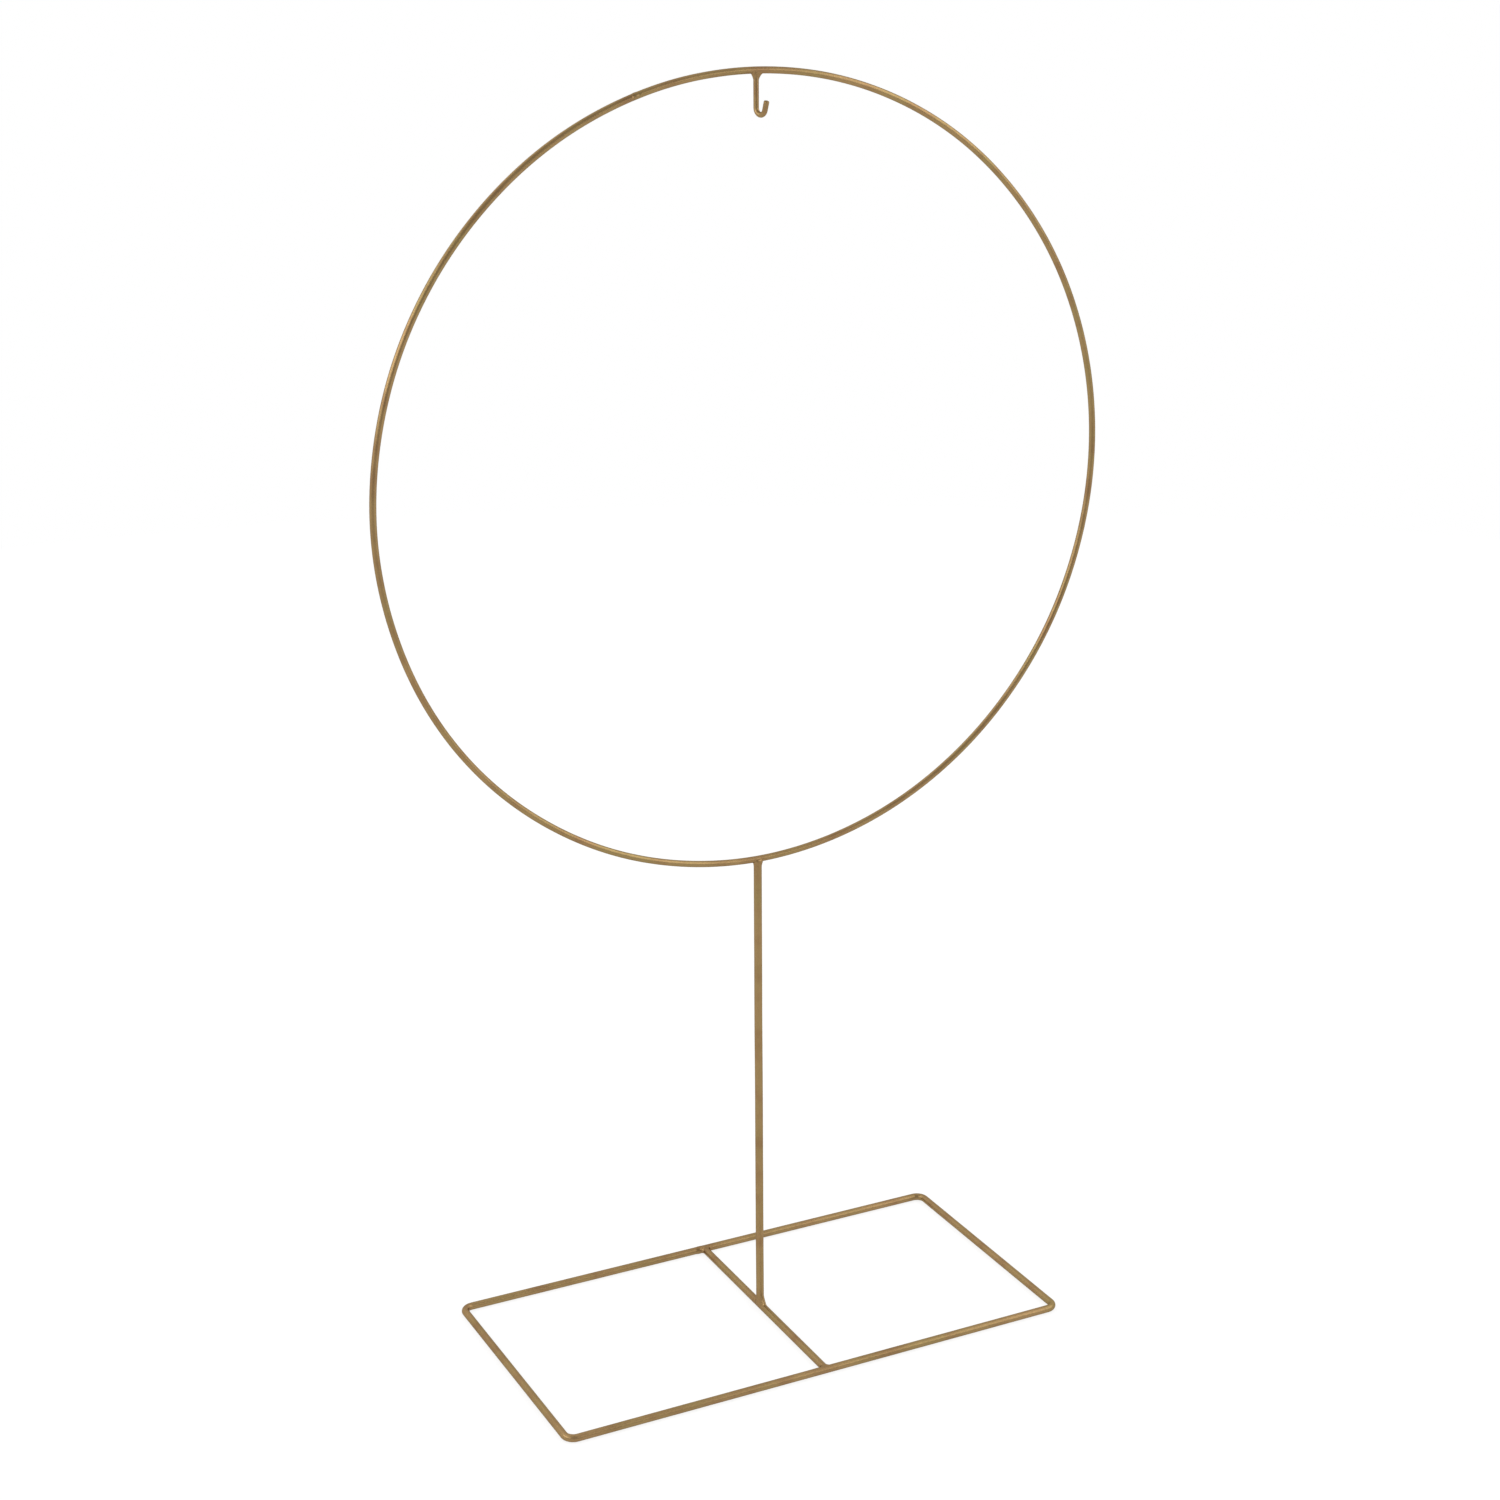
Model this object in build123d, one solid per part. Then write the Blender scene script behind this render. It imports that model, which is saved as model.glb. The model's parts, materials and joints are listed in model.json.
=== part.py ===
"""Free-standing wreath frame: a wire hoop with a hook in it, on a post and a flat wire base.

Five lengths of round steel wire are cut and bent, and every joint between them is closed by its
own bead of weld metal. All sizes are millimetres. The base lies on the plane z = 0 and +Z is up.
+X runs along the base, to the right of a person who faces the front. -Y is the front, and the
hook opens to it, turned a little to the right. The origin is under the middle of the whole frame.
"""

import math
import os
from build123d import *

# Wire diameters
BASE_WIRE = 3.0
POST_WIRE = 3.2
HOOP_WIRE = 2.5
HOOK_WIRE = 2.0

# Overall sizes, over the outside of the wire
OVERALL_HEIGHT = 500.0
HOOP_DIAMETER = 302.5
BASE_LENGTH = 222.0
BASE_WIDTH = 115.0

# Where the parts stand: the crossbar, the post and the hoop share the plane x = 0
BASE_LEFT = 1.6  # the middle of the base frame is this far left of the crossbar
POST_BACK = 2.3  # the post stands this far behind the middle of the crossbar
BASE_BEND = 4.0  # radius of the base frame's corners, at the wire's centreline

# Hook: a short J, welded under the top of the hoop
HOOK_RIGHT = 1.0  # distance of its shank from the plane x = 0
HOOK_TURN = 15.0  # degrees by which its opening is turned from the front towards the right
HOOK_DROP = 15.5  # from the hoop's centreline down to the hook's centreline at its lowest
HOOK_BEND = 2.4  # radius of the bend, at the wire's centreline
HOOK_FLARE = 16.0  # degrees by which the tip leans out from the vertical
HOOK_TIP = 3.4  # straight length from the bend to the cut end
TIP_CHAMFER = 0.25  # burr rubbed off the cut end

# Welds
SINK = 0.3  # how deep a butted wire's end has melted into the wire that it meets
COLLAR = 0.15  # thickness of a bead where it thins out round the butted wire
BUTT_GAP = 0.8  # length of weld metal between the two ends of a closed wire
HOOP_BUTT_ANGLE = 108.0  # degrees round the hoop, from +X towards the top
HOOP_BUTT_LENGTH = 3.0
HOOP_BUTT_PROUD = 0.12  # how far the bead stands out from the wire
BASE_BUTT_LEFT = 2.4  # distance of the base frame's butt weld from the crossbar's axis
BASE_BUTT_LENGTH = 4.4
BASE_BUTT_PROUD = 0.22
TABLE_SIZE = 400.0  # larger than the base, for trimming the beads level with the table

hoop_radius = (HOOP_DIAMETER - HOOP_WIRE) / 2
hoop_centre = Vector(0, POST_BACK, OVERALL_HEIGHT - HOOP_DIAMETER / 2)
base_level = BASE_WIRE / 2
rail_y = (BASE_WIDTH - BASE_WIRE) / 2

RIGHT = Vector(1, 0, 0)
BACK = Vector(0, 1, 0)
UP = Vector(0, 0, 1)
HOOK_OPENING = Vector(0, -1, 0).rotate(Axis.Z, HOOK_TURN)


def bent_wire(path, diameter):
    """Round wire of one diameter along a path."""
    start = Plane(origin=path @ 0, z_dir=path % 0)
    return sweep(start * Circle(diameter / 2), path=path)


def make_base_frame():
    """One wire bent to a rectangle. Its ends meet in the rear rail, just left of the crossbar."""
    left = -BASE_LEFT - (BASE_LENGTH - BASE_WIRE) / 2
    right = -BASE_LEFT + (BASE_LENGTH - BASE_WIRE) / 2
    first_end = -BASE_BUTT_LEFT + BUTT_GAP / 2
    last_end = -BASE_BUTT_LEFT - BUTT_GAP / 2
    corners = [
        (first_end, rail_y, base_level),
        (right, rail_y, base_level),
        (right, -rail_y, base_level),
        (left, -rail_y, base_level),
        (left, rail_y, base_level),
        (last_end, rail_y, base_level),
    ]
    return bent_wire(FilletPolyline(*corners, radius=BASE_BEND), BASE_WIRE)


def make_crossbar(base_frame):
    """A straight wire between the long rails, level with them."""
    end_y = rail_y - BASE_WIRE / 2 + SINK
    path = Line((0, -end_y, base_level), (0, end_y, base_level))
    return bent_wire(path, BASE_WIRE) - base_frame


def make_hoop():
    """One wire bent to a circle, open by the length of its butt weld."""
    gap = math.degrees(BUTT_GAP / hoop_radius)
    face_plane = Plane(origin=hoop_centre, x_dir=RIGHT, z_dir=-BACK)
    start = HOOP_BUTT_ANGLE + gap / 2
    path = face_plane * CenterArc((0, 0), hoop_radius, start, 360 - gap)
    return bent_wire(path, HOOP_WIRE)


def make_post(hoop, crossbar):
    """A straight upright wire from the crossbar to the bottom of the hoop."""
    bottom = BASE_WIRE - SINK
    top = hoop_centre.Z - HOOP_DIAMETER / 2 + SINK
    path = Line((0, POST_BACK, bottom), (0, POST_BACK, top))
    return bent_wire(path, POST_WIRE) - hoop - crossbar


def make_hook(hoop):
    """A shank, a bend towards the opening and a tip that leans outwards to its cut end."""
    root = hook_root()
    side_plane = Plane(origin=root, x_dir=HOOK_OPENING, z_dir=HOOK_OPENING.cross(UP))
    shank = Line((0, -HOOP_WIRE / 2 + SINK), (0, HOOK_BEND - HOOK_DROP))
    bend = JernArc(shank @ 1, shank % 1, HOOK_BEND, 180 - HOOK_FLARE)
    tip = Line(bend @ 1, bend @ 1 + (bend % 1) * HOOK_TIP)
    wire = bent_wire(side_plane * (shank + bend + tip), HOOK_WIRE)
    cut_end = side_plane.from_local_coords(tip @ 1)
    cut_edge = wire.edges().filter_by(GeomType.CIRCLE).sort_by_distance(cut_end)[0]
    return chamfer(cut_edge, TIP_CHAMFER) - hoop


def hook_root():
    """The point on the hoop's centreline straight above the hook's shank."""
    rise = math.sqrt(hoop_radius**2 - HOOK_RIGHT**2)
    return hoop_centre + RIGHT * HOOK_RIGHT + UP * rise


def fillet_bead(joint, along, out, reach, shift, side, neck, height):
    """Weld metal round a butted wire's end: an oval on the met wire, drawn in to a round neck.

    joint is where the two centrelines meet. The met wire runs along `along` and the butted wire
    leaves it along `out`. reach and side are the oval's half length and half width, and shift
    moves it along the met wire. height is the distance from the joint to the neck.
    """
    seat = Plane(origin=joint, x_dir=along, z_dir=out)
    oval = seat * Pos(shift, 0) * Ellipse(reach, side)
    ring = seat.offset(height) * Circle(neck)
    return loft([oval, ring])


def butt_bead(joint, along, length, radius):
    """Weld metal that closes a wire on itself: an egg shape, longest along the wire."""
    through = Plane(origin=joint, x_dir=along, z_dir=BACK)
    lower_half = Pos(0, -radius) * Rectangle(2 * length, 2 * radius)
    profile = Ellipse(length / 2, radius) - lower_half
    return revolve(through * profile, Axis(joint, along))


base_frame = make_base_frame()
base_crossbar = make_crossbar(base_frame)
hoop = make_hoop()
post = make_post(hoop, base_crossbar)
hook = make_hook(hoop)
wires = {
    "base_frame": base_frame,
    "base_crossbar": base_crossbar,
    "hoop": hoop,
    "post": post,
    "hook": hook,
}

butt_angle = math.radians(HOOP_BUTT_ANGLE)
butt_out = RIGHT * math.cos(butt_angle) + UP * math.sin(butt_angle)
butt_along = UP * math.cos(butt_angle) - RIGHT * math.sin(butt_angle)

beads = {
    "hoop_butt_weld": butt_bead(
        hoop_centre + butt_out * hoop_radius,
        butt_along,
        HOOP_BUTT_LENGTH,
        HOOP_WIRE / 2 + HOOP_BUTT_PROUD,
    ),
    "base_frame_butt_weld": butt_bead(
        Vector(-BASE_BUTT_LEFT, rail_y, base_level),
        RIGHT,
        BASE_BUTT_LENGTH,
        BASE_WIRE / 2 + BASE_BUTT_PROUD,
    ),
    "hook_weld": fillet_bead(
        hook_root(),
        along=RIGHT,
        out=-UP,
        reach=3.3,
        shift=0.8,
        side=HOOP_WIRE / 2 + COLLAR,
        neck=HOOK_WIRE / 2 + COLLAR,
        height=3.9,
    ),
    "post_top_weld": fillet_bead(
        hoop_centre - UP * hoop_radius,
        along=RIGHT,
        out=-UP,
        reach=2.5,
        shift=0.1,
        side=POST_WIRE / 2 + 2 * COLLAR,
        neck=POST_WIRE / 2 + COLLAR,
        height=3.8,
    ),
    "post_foot_weld": fillet_bead(
        Vector(0, POST_BACK, base_level),
        along=-BACK,
        out=UP,
        reach=3.9,
        shift=1.3,
        side=POST_WIRE / 2 + 2 * COLLAR,
        neck=POST_WIRE / 2 + COLLAR,
        height=5.8,
    ),
    "crossbar_rear_weld": fillet_bead(
        Vector(0, rail_y, base_level),
        along=RIGHT,
        out=-BACK,
        reach=2.7,
        shift=-0.3,
        side=BASE_WIRE / 2 + COLLAR,
        neck=BASE_WIRE / 2 + COLLAR,
        height=2.9,
    ),
    "crossbar_front_weld": fillet_bead(
        Vector(0, -rail_y, base_level),
        along=RIGHT,
        out=BACK,
        reach=3.0,
        shift=0.0,
        side=BASE_WIRE / 2 + COLLAR,
        neck=BASE_WIRE / 2 + COLLAR,
        height=3.2,
    ),
}

# Each bead fills only the space that the wires and the beads before it leave, above the table.
taken = list(wires.values())
taken.append(Pos(0, 0, -TABLE_SIZE / 2) * Box(TABLE_SIZE, TABLE_SIZE, TABLE_SIZE))
for name in beads:
    for solid in taken:
        if solid.bounding_box().overlaps(beads[name].bounding_box()):
            beads[name] -= solid
    taken.append(beads[name])

os.makedirs("parts", exist_ok=True)
for name, solid in (wires | beads).items():
    export_step(solid, f"parts/{name}.step")
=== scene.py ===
import json
import math

import bpy
from mathutils import Matrix, Vector, noise


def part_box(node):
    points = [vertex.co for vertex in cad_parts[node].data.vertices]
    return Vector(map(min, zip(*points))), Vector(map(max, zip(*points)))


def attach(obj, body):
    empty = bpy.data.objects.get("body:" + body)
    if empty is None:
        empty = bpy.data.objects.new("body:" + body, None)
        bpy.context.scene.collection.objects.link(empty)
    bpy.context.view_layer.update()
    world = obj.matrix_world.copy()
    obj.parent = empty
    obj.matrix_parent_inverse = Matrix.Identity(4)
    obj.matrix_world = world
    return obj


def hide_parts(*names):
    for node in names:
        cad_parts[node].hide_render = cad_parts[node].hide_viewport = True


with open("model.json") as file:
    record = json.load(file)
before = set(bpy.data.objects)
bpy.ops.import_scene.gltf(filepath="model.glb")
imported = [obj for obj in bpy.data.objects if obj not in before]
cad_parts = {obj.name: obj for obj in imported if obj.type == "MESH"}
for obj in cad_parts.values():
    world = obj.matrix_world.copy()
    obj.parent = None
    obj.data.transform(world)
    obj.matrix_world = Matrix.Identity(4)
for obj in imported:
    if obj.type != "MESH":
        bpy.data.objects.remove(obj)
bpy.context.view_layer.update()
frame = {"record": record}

MM = 0.001

X = Vector((1, 0, 0))
Y = Vector((0, 1, 0))
Z = Vector((0, 0, 1))

# ---------------------------------------------------------------- sizes, read from the frame


def middle(node):
    low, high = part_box(node)
    return (low + high) / 2


def extent(node):
    low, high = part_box(node)
    return high - low


def mount(name):
    found = next(m for m in frame["record"]["mounts"] if m["name"] == name)
    return Vector(found["pos_m"]), Vector(found["axis"]).normalized(), found["dims"]


BASE_R = extent("base_frame").z / 2
POST_R = extent("post").x / 2
HOOP_R = extent("hoop").y / 2

RING = extent("hoop").z / 2 - HOOP_R  # radius of the hoop's centreline
RING_CENTRE = middle("hoop")
POST_TOP = RING_CENTRE - Z * RING
BASE_MIDDLE = middle("base_frame")
RAIL = extent("base_frame") / 2 - Vector((BASE_R, BASE_R, 0))
BAR_X = middle("base_crossbar").x
POST_FOOT = Vector((BAR_X, RING_CENTRE.y, BASE_R))
REAR_JOINT = Vector((BAR_X, BASE_MIDDLE.y + RAIL.y, BASE_R))
FRONT_JOINT = Vector((BAR_X, BASE_MIDDLE.y - RAIL.y, BASE_R))
HOOP_BUTT = middle("hoop_butt_weld")
BASE_BUTT = Vector((middle("base_frame_butt_weld").x, REAR_JOINT.y, BASE_R))

HOOK_SEAT = mount("hook_seat")[0]
TIP_MIDDLE, TIP_AXIS, TIP_DIMS = mount("hook_tip")
HOOK_R = TIP_DIMS["r_mm"] * MM
SHANK_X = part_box("hook")[0].x + HOOK_R
HOOK_ROOT = Vector((SHANK_X, RING_CENTRE.y, RING_CENTRE.z + math.sqrt(RING**2 - SHANK_X**2)))
OPENING = Vector((TIP_AXIS.x, TIP_AXIS.y, 0)).normalized()  # from the shank towards the tip
HOOK_BEND = (HOOK_SEAT - HOOK_ROOT).dot(OPENING)
BEND_CENTRE = HOOK_SEAT + Z * (HOOK_BEND - HOOK_R)

BASE_BEND = 4.0 * MM  # centreline radius of the base frame's corners
BUTT_GAP = 0.8 * MM  # between the two ends of a closed wire
SINK = 0.4 * MM  # how far a butted wire's end goes into the wire that it meets
TIP_CHAMFER = 0.25 * MM
# The cut end is rounded off by three rings, at shares of the chamfer's length and of the radius.
CHAMFER_ALONG, CHAMFER_RADII = (0.35, 0.7, 1.0), (0.96, 0.88, 0.74)

JOINTS = [HOOK_ROOT, POST_TOP, POST_FOOT, REAR_JOINT, FRONT_JOINT]
WELDS = [*JOINTS, HOOP_BUTT, BASE_BUTT]

# ---------------------------------------------------------------- meshes

SIDES = 40  # points round a wire
STEP = 1.5 * MM  # between rings of points, on the long wires
BEND_STEP = 0.35 * MM  # in the base frame's corners
SHANK_STEP, HOOK_BEND_STEP, TIP_STEP = 0.5 * MM, 0.25 * MM, 0.4 * MM  # and along the hook
WANDER = 0.12 * MM  # how far the hoop and the post stray from their paths, at most
STEADY = 25 * MM  # a wire strays less than that when it is nearer than this to a weld
WANDER_IN_PLANE = 45 * MM  # size of the stray bends in the wire's own plane
WANDER_ACROSS = 60 * MM  # and across it
THICKNESS_CHANGE, THICKNESS_DRIFT = 0.008, 12 * MM  # a share of the radius, and its size


def add_piece(name, node, material, points, faces):
    """A smooth mesh that stands for one CAD node and nowhere goes below the table."""
    points = [Vector((p.x, p.y, max(p.z, 0))) for p in points]
    mesh = bpy.data.meshes.new(name)
    mesh.from_pydata([tuple(p) for p in points], [], faces)
    mesh.validate()
    mesh.update()
    mesh.shade_smooth()
    near = mesh.attributes.new("near_weld", "FLOAT", "POINT")
    for i, point in enumerate(points):
        near.data[i].value = min((point - joint).length for joint in JOINTS) / MM
    mesh.materials.append(material)
    piece = bpy.data.objects.new(name, mesh)
    bpy.context.scene.collection.objects.link(piece)
    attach(piece, "root")
    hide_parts(node)


def smooth_noise(place, size, seed):
    """Between about -1 and 1, the same on every run."""
    return noise.noise(place / size + Vector((seed * 7.31, seed * 3.17, seed * 5.53)))


def arc(centre, start, toward, radius, first, last, step):
    """Points on an arc that starts along `start` from its centre and turns to `toward`."""
    count = max(2, math.ceil(abs(last - first) * radius / step))
    turns = [first + (last - first) * i / count for i in range(count + 1)]
    return [centre + (start * math.cos(t) + toward * math.sin(t)) * radius for t in turns]


def run(first, last, step):
    """Points on a straight line, both ends included."""
    count = max(1, math.ceil((last - first).length / step))
    return [first.lerp(last, i / count) for i in range(count + 1)]


def joined(*stretches):
    """One list of points from stretches that share their end points."""
    points = list(stretches[0])
    for stretch in stretches[1:]:
        points += stretch[1:]
    return points


def ring_faces(rings, sides):
    """Quads between rings of points, and a fan of triangles to the point at each end."""
    faces = []
    for r in range(rings - 1):
        for s in range(sides):
            a, b = r * sides + s, r * sides + (s + 1) % sides
            faces.append((a, b, b + sides, a + sides))
    start, end = rings * sides, rings * sides + 1
    last = (rings - 1) * sides
    for s in range(sides):
        t = (s + 1) % sides
        faces.append((start, t, s))
        faces.append((end, last + s, last + t))
    return faces


def wire(name, node, path, flat, radius, material, wander, seed, ends=()):
    """Round wire along a path that lies in one plane, whose normal is `flat`.

    wander is how far the wire strays from its path, as hand-straightened wire does. ends lists
    the last points' shares of the radius, for a shaped cut end.
    """
    points = []
    length = 0.0
    for i, place in enumerate(path):
        before, after = path[max(i - 1, 0)], path[min(i + 1, len(path) - 1)]
        along = (after - before).normalized()
        across = along.cross(flat)
        length += (place - before).length
        drift = Vector((length, 0, 0))
        stray = wander * min(min((place - weld).length for weld in WELDS) / STEADY, 1)
        place = place + across * stray * smooth_noise(drift, WANDER_IN_PLANE, seed)
        place = place + flat * stray * smooth_noise(drift, WANDER_ACROSS, seed + 9)
        r = radius * (1 + THICKNESS_CHANGE * smooth_noise(drift, THICKNESS_DRIFT, seed + 4))
        if i >= len(path) - len(ends):
            r = radius * ends[i - len(path)]
        for s in range(SIDES):
            turn = math.tau * s / SIDES
            points.append(place + across * r * math.cos(turn) + flat * r * math.sin(turn))
    points += [path[0], path[-1]]
    add_piece(name, node, material, points, ring_faces(len(path), SIDES))


def make_hoop(material):
    out = (HOOP_BUTT - RING_CENTRE).normalized()
    out = Vector((out.x, 0, out.z)).normalized()
    along = Y.cross(out)
    half_gap = BUTT_GAP / 2 / RING
    path = arc(RING_CENTRE, out, along, RING, half_gap, math.tau - half_gap, STEP)
    wire("hoop_wire", "hoop", path, Y, HOOP_R, material, WANDER, 1)


def make_post(material):
    foot = POST_FOOT + Z * (BASE_R - SINK)
    head = POST_TOP - Z * HOOP_R  # inside the bead, which hides it
    wire("post_wire", "post", run(foot, head, STEP), Y, POST_R, material, WANDER, 2)


def make_crossbar(material):
    inset = Y * (BASE_R - SINK)
    path = run(FRONT_JOINT + inset, REAR_JOINT - inset, STEP)
    wire("crossbar_wire", "base_crossbar", path, Z, BASE_R, material, 0, 3)


def make_base_frame(material):
    left, right = BASE_MIDDLE.x - RAIL.x, BASE_MIDDLE.x + RAIL.x
    front, rear = FRONT_JOINT.y, REAR_JOINT.y
    b = BASE_BEND

    def at(x, y):
        return Vector((x, y, BASE_R))

    path = joined(
        run(at(BASE_BUTT.x + BUTT_GAP / 2, rear), at(right - b, rear), STEP),
        arc(at(right - b, rear - b), Y, X, b, 0, math.pi / 2, BEND_STEP),
        run(at(right, rear - b), at(right, front + b), STEP),
        arc(at(right - b, front + b), X, -Y, b, 0, math.pi / 2, BEND_STEP),
        run(at(right - b, front), at(left + b, front), STEP),
        arc(at(left + b, front + b), -Y, -X, b, 0, math.pi / 2, BEND_STEP),
        run(at(left, front + b), at(left, rear - b), STEP),
        arc(at(left + b, rear - b), -X, Y, b, 0, math.pi / 2, BEND_STEP),
        run(at(left + b, rear), at(BASE_BUTT.x - BUTT_GAP / 2, rear), STEP),
    )
    wire("base_frame_wire", "base_frame", path, Z, BASE_R, material, 0, 4)


def make_hook(material):
    top = HOOK_ROOT - Z * (HOOP_R - SINK)
    flare = math.acos(TIP_AXIS.z)
    bend = arc(BEND_CENTRE, -OPENING, -Z, HOOK_BEND, 0, math.pi - flare, HOOK_BEND_STEP)
    half = TIP_DIMS["length_mm"] / 2 * MM
    cut = TIP_MIDDLE + TIP_AXIS * half
    chamfer = [cut + TIP_AXIS * TIP_CHAMFER * t for t in CHAMFER_ALONG]
    path = joined(run(top, bend[0], SHANK_STEP), bend, run(bend[-1], cut, TIP_STEP)) + chamfer
    flat = OPENING.cross(Z)
    wire("hook_wire", "hook", path, flat, HOOK_R, material, 0, 5, ends=CHAMFER_RADII)


# Beads. Each has two edges, a neck on the butted wire and a foot on the wire that it meets.
BEAD_SIDES, BEAD_STEPS = 72, 14  # points round a fillet bead, and from its neck to its foot
COVER = 0.14 * MM  # thickness of weld metal over the rim of a butted wire
SUNK = 0.05 * MM  # how far a bead's thin edges go into the wires
SWING = 1.4  # how quickly a bead's long and short sides give way to its flanks
FLANK_LEG = 0.8  # a flank's leg, as a share of the shorter leg
FOOT_OUTLINE = 0.6  # 1 for an oval foot, less for a squarer one
RAGGED, RAGGED_SIZE = 0.16, 0.8  # share by which the edges are uneven, and its size in radians
DIAGONAL = 0.7  # a bead's face swells halfway between outwards and along the butted wire
SWELL, LUMP, LUMP_SIZE = 0.06 * MM, 0.05 * MM, 1.3 * MM  # the roundness of a bead's face
RIM_HIDDEN, RIM_BARE = 0.85, 1.05  # the butted wire's half width, in radii of the met wire
INSIDE, FOOT_INSIDE = 0.8, 0.96  # shrink the two rings that close a bead inside the wires

BUTT_SIDES, BUTT_STEPS = 48, 20  # points round a butt bead, and along it
BUTT_ROUND, BUTT_LEAN = 0.6, 0.4  # how proud it is all round, and how much more towards `out`
BUTT_RAGGED, BUTT_RAGGED_SIZE = 0.15, 0.9
BUTT_SUNK = 0.02 * MM  # how far its ends go into the wire


def corner_radius(butted, neck, foot, hollow, bare):
    """How far out a bead's profile is pulled, from the butted wire's axis.

    bare goes from 0, where the met wire is wide enough to leave a corner to fill, to 1, where
    the butted wire's rim stands out past it and the profile has to bulge, to stay clear of that
    rim. The middle of the profile is (neck + foot) * (4 - 3 * hollow) / 8 + corner * 0.75 * hollow.
    """
    plain = butted + COVER
    bulging = (butted + COVER / 2 - (neck + foot) * (4 - 3 * hollow) / 8) / (0.75 * hollow)
    return plain + (max(plain, bulging) - plain) * bare


def bead_edges(phi, radii, legs, heights, wrap, turn, hollow, seed):
    """A fillet bead's neck, the corner that its profile is pulled to and its foot, at angle phi."""
    met, butted = radii
    lean = phi - math.radians(turn)
    ahead = max(math.cos(lean), 0) ** SWING
    behind = max(-math.cos(lean), 0) ** SWING
    beside = 1 - ahead - behind
    leg = legs[0] * ahead + legs[1] * behind + min(legs) * FLANK_LEG * beside
    height = heights[0] * ahead + heights[1] * behind + heights[2] * beside

    outward = Vector((math.cos(phi), math.sin(phi), 0))
    ragged = 1 + RAGGED * smooth_noise(outward, RAGGED_SIZE, seed)
    across = math.copysign(abs(math.cos(phi)) ** FOOT_OUTLINE, math.cos(phi))
    psi = math.radians(wrap) * math.sin(phi)
    round_met = Vector((0, math.sin(psi), math.cos(psi))) * (met - SUNK)
    foot = X * (butted + leg * ragged) * across + round_met

    crest = math.sqrt(max(met**2 - (butted * outward.y) ** 2, 0))
    neck = outward * (butted - SUNK) + Z * (max(crest, met / 2) + height * ragged)
    width = butted * abs(outward.y) / met
    bare = min(max((width - RIM_HIDDEN) / (RIM_BARE - RIM_HIDDEN), 0), 1)
    pull = corner_radius(butted, butted - SUNK, abs(foot.y), hollow, bare)
    return neck, outward * pull + Z * crest, foot


def bead_profile(neck, corner, foot, hollow, seed):
    """Points on a curve from neck to foot, which hollow draws in towards the corner."""
    a, b = neck.lerp(corner, hollow), foot.lerp(corner, hollow)
    points = []
    for s in range(BEAD_STEPS + 1):
        t = s / BEAD_STEPS
        p = neck * (1 - t) ** 3 + a * 3 * t * (1 - t) ** 2 + b * 3 * t**2 * (1 - t) + foot * t**3
        level = Vector((p.x, p.y, 0))
        outwards = level.normalized() if level.length else Vector()
        away = outwards * DIAGONAL + Z * DIAGONAL
        rise = math.sin(math.pi * t) ** 2
        points.append(p + away * rise * (SWELL + LUMP * smooth_noise(p, LUMP_SIZE, seed)))
    return points


def fillet_bead(
    name, node, joint, along, out, radii, legs, heights, wrap, turn, hollow, material, seed
):
    """Weld metal that fills the corner round a butted wire's end.

    joint is where the centrelines cross; the met wire runs along `along` and the butted wire
    leaves along `out`. radii are (met, butted). legs are how far the foot reaches along the met
    wire from the butted wire's side, on the `along` side and behind it; heights are how far the
    bead climbs the butted wire there and at the flanks. wrap is how far round the met wire the
    foot comes at the flanks, and turn shifts the tall side round the butted wire, in degrees.
    hollow is 0 for a straight slope from neck to foot and near 1 for a deeply scooped one.
    """
    rings = [[] for _ in range(BEAD_STEPS + 3)]
    for c in range(BEAD_SIDES):
        phi = math.tau * c / BEAD_SIDES
        neck, corner, foot = bead_edges(phi, radii, legs, heights, wrap, turn, hollow, seed)
        profile = bead_profile(neck, corner, foot, hollow, seed + 2)
        closed_neck = Vector((neck.x * INSIDE, neck.y * INSIDE, neck.z))
        closed_foot = Vector((foot.x * FOOT_INSIDE, foot.y * INSIDE, foot.z * INSIDE))
        for ring, point in zip(rings, [closed_neck, *profile, closed_foot]):
            ring.append(point)
    high = sum(p.z for p in rings[0]) / BEAD_SIDES
    local = [p for ring in rings for p in ring] + [Z * high, Vector()]
    # ring_faces winds the other way round for a bead that runs down its own axis
    turn_to = Matrix((along, out.cross(along), out)).transposed()
    points = [joint + turn_to @ p for p in local]
    faces = [face[::-1] for face in ring_faces(len(rings), BEAD_SIDES)]
    add_piece(name, node, material, points, faces)


def butt_bead(name, node, centre, along, out, radius, length, proud, material, seed):
    """Weld metal that closes a wire on itself: a low uneven swelling, proudest towards `out`."""
    side = along.cross(out)
    points = []
    for s in range(BUTT_STEPS + 1):
        t = s / BUTT_STEPS
        rise = math.sin(math.pi * t) ** 2
        for c in range(BUTT_SIDES):
            turn = math.tau * c / BUTT_SIDES
            ray = out * math.cos(turn) + side * math.sin(turn)
            lump = BUTT_RAGGED * smooth_noise(ray + along * t, BUTT_RAGGED_SIZE, seed)
            height = proud * (BUTT_ROUND + BUTT_LEAN * math.cos(turn) + lump)
            r = radius - BUTT_SUNK * (1 - rise) + height * rise
            points.append(centre + along * (t - 0.5) * length + ray * r)
    points += [centre - along * length / 2, centre + along * length / 2]
    faces = [face[::-1] for face in ring_faces(BUTT_STEPS + 1, BUTT_SIDES)]
    add_piece(name, node, material, points, faces)


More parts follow.
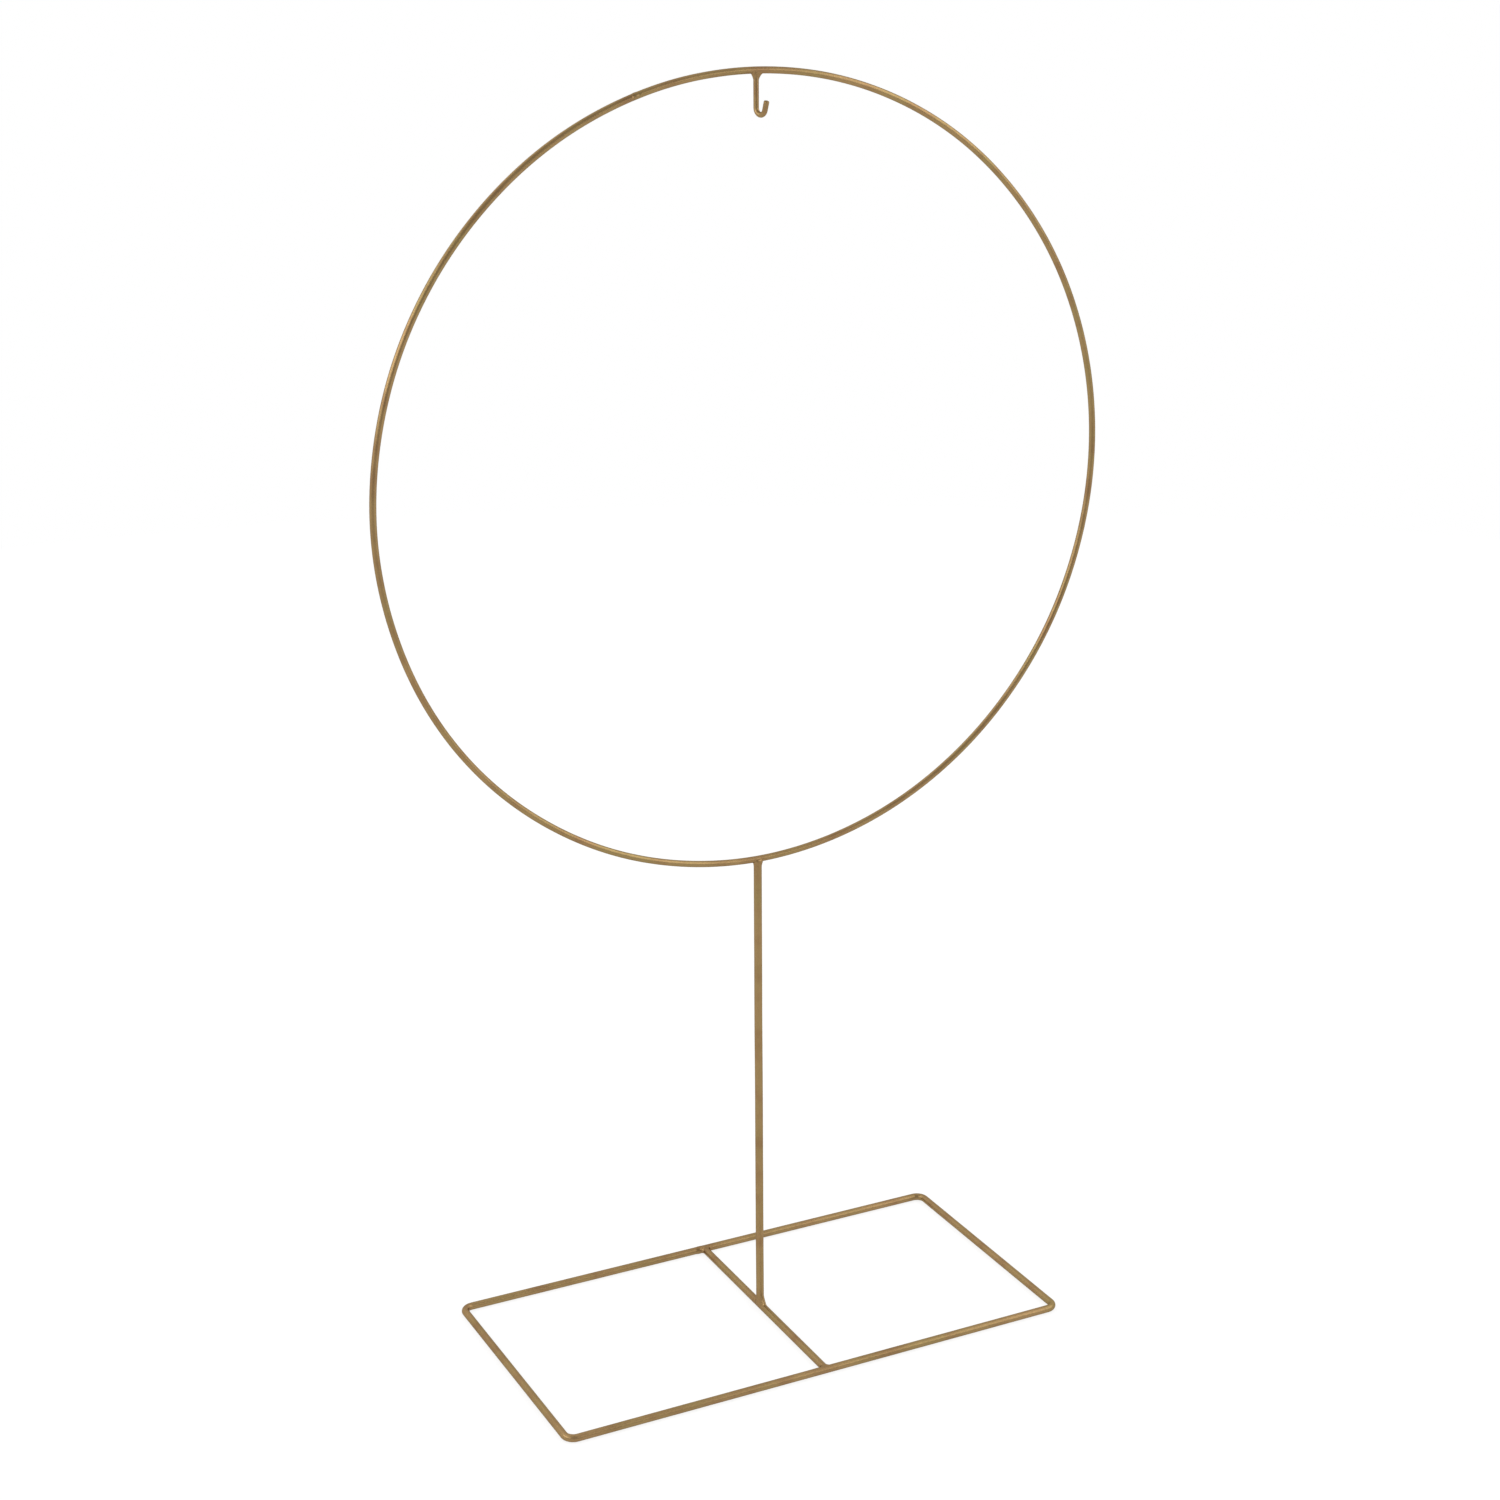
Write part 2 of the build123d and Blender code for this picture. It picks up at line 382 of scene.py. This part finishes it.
def make_beads(material):
    fillet_bead(
        "hook_bead", "hook_weld", HOOK_ROOT, along=X, out=-Z, radii=(HOOP_R, HOOK_R),
        legs=(1.9 * MM, 1.2 * MM), heights=(2.7 * MM, 2.6 * MM, 2.2 * MM),
        wrap=86, turn=0, hollow=0.5, material=material, seed=11,
    )
    fillet_bead(
        "post_top_bead", "post_top_weld", POST_TOP, along=X, out=-Z, radii=(HOOP_R, POST_R),
        legs=(0.6 * MM, 0.45 * MM), heights=(2.3 * MM, 2.1 * MM, 2.0 * MM),
        wrap=96, turn=0, hollow=0.45, material=material, seed=12,
    )
    fillet_bead(
        "post_foot_bead", "post_foot_weld", POST_FOOT, along=-Y, out=Z, radii=(BASE_R, POST_R),
        legs=(3.1 * MM, 0.7 * MM), heights=(4.4 * MM, 1.3 * MM, 2.4 * MM),
        wrap=88, turn=25, hollow=0.25, material=material, seed=13,
    )
    fillet_bead(
        "crossbar_rear_bead", "crossbar_rear_weld", REAR_JOINT, along=X, out=-Y,
        radii=(BASE_R, BASE_R), legs=(0.9 * MM, 1.1 * MM),
        heights=(1.5 * MM, 1.4 * MM, 1.6 * MM),
        wrap=84, turn=0, hollow=0.5, material=material, seed=14,
    )
    fillet_bead(
        "crossbar_front_bead", "crossbar_front_weld", FRONT_JOINT, along=X, out=Y,
        radii=(BASE_R, BASE_R), legs=(1.2 * MM, 1.4 * MM),
        heights=(1.6 * MM, 1.6 * MM, 1.4 * MM),
        wrap=84, turn=0, hollow=0.6, material=material, seed=15,
    )
    out = (HOOP_BUTT - RING_CENTRE).normalized()
    butt_bead(
        "hoop_butt_bead", "hoop_butt_weld", RING_CENTRE + out * RING, along=Y.cross(out), out=out,
        radius=HOOP_R, length=3.4 * MM, proud=0.09 * MM, material=material, seed=16,
    )
    butt_bead(
        "base_frame_butt_bead", "base_frame_butt_weld", BASE_BUTT, along=X, out=-Y,
        radius=BASE_R, length=4.6 * MM, proud=0.19 * MM, material=material, seed=17,
    )


# ---------------------------------------------------------------- paint

# Slow drifts of colour: a patch's size, and the noise values where a colour starts and is full.
OLIVE_PATCH, OLIVE_START, OLIVE_FULL = 22 * MM, 0.38, 0.64
BROWN_PATCH, BROWN_START, BROWN_FULL = 9 * MM, 0.46, 0.72
BROWN_SHARE = 0.8  # of the colour in a full brown patch
WELD_SHARE = 0.5  # share of brown at a weld
WELD_NEAR, WELD_FAR = 2.0, 7.0  # where that starts to fade and is gone, in mm from the joint
FLAKE_SIZE, FLAKE_CHANGE = 0.18 * MM, 0.05
METALLIC, EDGE_TINT = 0.92, (0.62, 0.59, 0.54, 1)
GLOSS_PATCH, GLOSS_START, GLOSS_FULL = 1.6 * MM, 0.3, 0.7
GLOSSIER, DULLER = 0.04, 0.05  # changes of roughness from patch to patch
PEEL_SIZE, PEEL_HEIGHT = 0.5 * MM, 0.02 * MM


class Graph:
    """The nodes of a material made from its object coordinates."""

    def __init__(self, material):
        material.use_nodes = True
        self.nodes = material.node_tree.nodes
        self.links = material.node_tree.links
        self.surface = self.nodes["Principled BSDF"]
        self.place = self.nodes.new("ShaderNodeTexCoord").outputs["Object"]

    def noise(self, size, detail=3.0):
        node = self.nodes.new("ShaderNodeTexNoise")
        node.inputs["Scale"].default_value = 1 / size
        node.inputs["Detail"].default_value = detail
        self.links.new(self.place, node.inputs["Vector"])
        return node.outputs["Fac"]

    def ranged(self, value, low, high, to_low, to_high):
        node = self.nodes.new("ShaderNodeMapRange")
        limits = {"From Min": low, "From Max": high, "To Min": to_low, "To Max": to_high}
        for socket, number in limits.items():
            node.inputs[socket].default_value = number
        self.links.new(value, node.inputs["Value"])
        return node.outputs["Result"]

    def mixed(self, share, first, second):
        node = self.nodes.new("ShaderNodeMix")
        node.data_type = "RGBA"
        self.links.new(share, node.inputs["Factor"])
        for socket, colour in (("A", first), ("B", second)):
            if isinstance(colour, tuple):
                node.inputs[socket].default_value = (*colour, 1)
            else:
                self.links.new(colour, node.inputs[socket])
        return node.outputs["Result"]

    def scaled(self, colour, factor):
        node = self.nodes.new("ShaderNodeVectorMath")
        node.operation = "SCALE"
        self.links.new(colour, node.inputs[0])
        self.links.new(factor, node.inputs["Scale"])
        return node.outputs["Vector"]


def paint_colour(graph, gold, brown, olive):
    """Gold that drifts to olive and brown, browner at the welds, with fine metal flake."""
    olive_share = graph.ranged(graph.noise(OLIVE_PATCH), OLIVE_START, OLIVE_FULL, 0, 1)
    colour = graph.mixed(olive_share, gold, olive)
    patches = graph.noise(BROWN_PATCH, 4.0)
    brown_share = graph.ranged(patches, BROWN_START, BROWN_FULL, 0, BROWN_SHARE)
    colour = graph.mixed(brown_share, colour, brown)
    weld = graph.nodes.new("ShaderNodeAttribute")
    weld.attribute_name = "near_weld"
    weld_share = graph.ranged(weld.outputs["Fac"], WELD_NEAR, WELD_FAR, WELD_SHARE, 0)
    colour = graph.mixed(weld_share, colour, brown)
    flake = graph.nodes.new("ShaderNodeTexVoronoi")
    flake.inputs["Scale"].default_value = 1 / FLAKE_SIZE
    graph.links.new(graph.place, flake.inputs["Vector"])
    glint = graph.ranged(flake.outputs["Color"], 0, 1, 1 - FLAKE_CHANGE, 1 + FLAKE_CHANGE)
    return graph.scaled(colour, glint)


def paint(name, gold, brown, olive, roughness, peel):
    """Satin antique-gold paint with an uneven gloss and a slight orange peel."""
    material = bpy.data.materials.new(name)
    graph = Graph(material)
    surface = graph.surface
    graph.links.new(paint_colour(graph, gold, brown, olive), surface.inputs["Base Color"])
    surface.inputs["Metallic"].default_value = METALLIC
    surface.inputs["Specular Tint"].default_value = EDGE_TINT

    low, high = roughness - GLOSSIER, roughness + DULLER
    satin = graph.ranged(graph.noise(GLOSS_PATCH), GLOSS_START, GLOSS_FULL, low, high)
    graph.links.new(satin, surface.inputs["Roughness"])

    bump = graph.nodes.new("ShaderNodeBump")
    bump.inputs["Strength"].default_value = peel
    bump.inputs["Distance"].default_value = PEEL_HEIGHT
    graph.links.new(graph.noise(PEEL_SIZE, 2.0), bump.inputs["Height"])
    graph.links.new(bump.outputs["Normal"], surface.inputs["Normal"])
    return material


# ---------------------------------------------------------------- camera, stage and light


def toward(azimuth, elevation):
    """A unit vector; azimuth is in degrees from the back towards the right."""
    a, e = math.radians(azimuth), math.radians(elevation)
    return Vector((math.sin(a) * math.cos(e), math.cos(a) * math.cos(e), math.sin(e)))


def look(place, along, roll):
    """The matrix of a camera or lamp at `place` that looks `along`, rolled by some degrees."""
    aimed = Matrix.Translation(place) @ along.to_track_quat("-Z", "Y").to_matrix().to_4x4()
    return aimed @ Matrix.Rotation(math.radians(roll), 4, "Z")


VIEW_BACK = toward(180 + 27.21, 18.66)  # from the object to the camera
VIEW_DISTANCE = 1.0495
VIEW_ROLL = -0.12
AIM = Vector((9.0, -2.3, 230.0)) * MM
LENS, SHIFT = 64.79, 0.0222

FLOOR_RADIUS, FLOOR_SIDES = 1.5, 96
FLOOR_GREY, FLOOR_ROUGHNESS = 0.20, 0.9
FLOOR_GLOW = 0.82  # hides most of the shadow

LAMP_DISTANCE = 1.6
DIM_CENTRE = toward(198, 27)
DIM_INSIDE, DIM_OUTSIDE = 36, 78  # degrees from there, fully dim and not dim at all
DIM = 0.52


def make_camera():
    data = bpy.data.cameras.new("camera")
    data.lens = LENS
    data.shift_x, data.shift_y = -SHIFT, SHIFT
    camera = bpy.data.objects.new("camera", data)
    bpy.context.scene.collection.objects.link(camera)
    camera.matrix_world = look(AIM + VIEW_BACK * VIEW_DISTANCE, -VIEW_BACK, VIEW_ROLL)
    bpy.context.scene.camera = camera


def make_floor():
    """Glowing white paper, as on a light table."""
    mesh = bpy.data.meshes.new("floor")
    turns = [math.tau * i / FLOOR_SIDES for i in range(FLOOR_SIDES)]
    rim = [Vector((math.cos(turn), math.sin(turn), 0)) * FLOOR_RADIUS for turn in turns]
    mesh.from_pydata(rim, [], [tuple(range(FLOOR_SIDES))])
    floor = bpy.data.objects.new("floor", mesh)
    bpy.context.scene.collection.objects.link(floor)
    material = bpy.data.materials.new("floor_paper")
    material.use_nodes = True
    surface = material.node_tree.nodes["Principled BSDF"]
    surface.inputs["Base Color"].default_value = (FLOOR_GREY, FLOOR_GREY, FLOOR_GREY, 1)
    surface.inputs["Roughness"].default_value = FLOOR_ROUGHNESS
    surface.inputs["Specular IOR Level"].default_value = 0.0
    surface.inputs["Emission Color"].default_value = (1, 1, 1, 1)
    surface.inputs["Emission Strength"].default_value = FLOOR_GLOW
    mesh.materials.append(material)


def soft_box(name, direction, roll, width, height, brightness):
    """A large rectangular lamp that faces the hoop's centre; its power grows with its area."""
    data = bpy.data.lights.new(name, "AREA")
    data.shape = "RECTANGLE"
    data.size, data.size_y = width, height
    data.energy = brightness * math.pi * width * height
    lamp = bpy.data.objects.new(name, data)
    bpy.context.scene.collection.objects.link(lamp)
    lamp.matrix_world = look(RING_CENTRE + direction * LAMP_DISTANCE, -direction, roll)


def make_room():
    """A room that is dimmer towards the front, and looks white wherever the camera sees it."""
    world = bpy.data.worlds.new("room")
    bpy.context.scene.world = world
    world.use_nodes = True
    nodes, links = world.node_tree.nodes, world.node_tree.links
    ahead = nodes.new("ShaderNodeVectorMath")
    ahead.operation = "DOT_PRODUCT"
    ahead.inputs[1].default_value = DIM_CENTRE
    links.new(nodes.new("ShaderNodeTexCoord").outputs["Generated"], ahead.inputs[0])
    fall = nodes.new("ShaderNodeMapRange")
    fall.interpolation_type = "SMOOTHSTEP"
    fall.inputs["From Min"].default_value = math.cos(math.radians(DIM_OUTSIDE))
    fall.inputs["From Max"].default_value = math.cos(math.radians(DIM_INSIDE))
    fall.inputs["To Min"].default_value = 1.0
    fall.inputs["To Max"].default_value = DIM
    links.new(ahead.outputs["Value"], fall.inputs["Value"])
    backdrop = nodes.new("ShaderNodeMath")
    backdrop.operation = "MAXIMUM"
    links.new(fall.outputs["Result"], backdrop.inputs[0])
    links.new(nodes.new("ShaderNodeLightPath").outputs["Is Camera Ray"], backdrop.inputs[1])
    links.new(backdrop.outputs["Value"], nodes["Background"].inputs["Strength"])
    nodes["Background"].inputs["Color"].default_value = (1, 1, 1, 1)


def make_lamps():
    """A long soft box on each side, and a weak one behind on each side."""
    soft_box("left_box", toward(266, 24), roll=0, width=2.0, height=0.75, brightness=2.1)
    soft_box("right_box", toward(127, 28), roll=-56, width=0.85, height=2.1, brightness=1.75)
    soft_box("rear_right_box", toward(55, 12), roll=0, width=1.0, height=1.0, brightness=0.15)
    soft_box("rear_left_box", toward(325, 45), roll=0, width=1.0, height=1.0, brightness=0.6)


make_camera()
wire_paint = paint(
    "gold_paint", gold=(0.334, 0.217, 0.098), brown=(0.262, 0.152, 0.072),
    olive=(0.302, 0.213, 0.089), roughness=0.37, peel=0.3,
)
weld_paint = paint(
    "weld_paint", gold=(0.326, 0.211, 0.094), brown=(0.260, 0.155, 0.070),
    olive=(0.296, 0.203, 0.086), roughness=0.30, peel=0.4,
)
make_hoop(wire_paint)
make_post(wire_paint)
make_base_frame(wire_paint)
make_crossbar(wire_paint)
make_hook(wire_paint)
make_beads(weld_paint)
make_floor()
make_room()
make_lamps()
bpy.context.scene.view_settings.view_transform = "Standard"
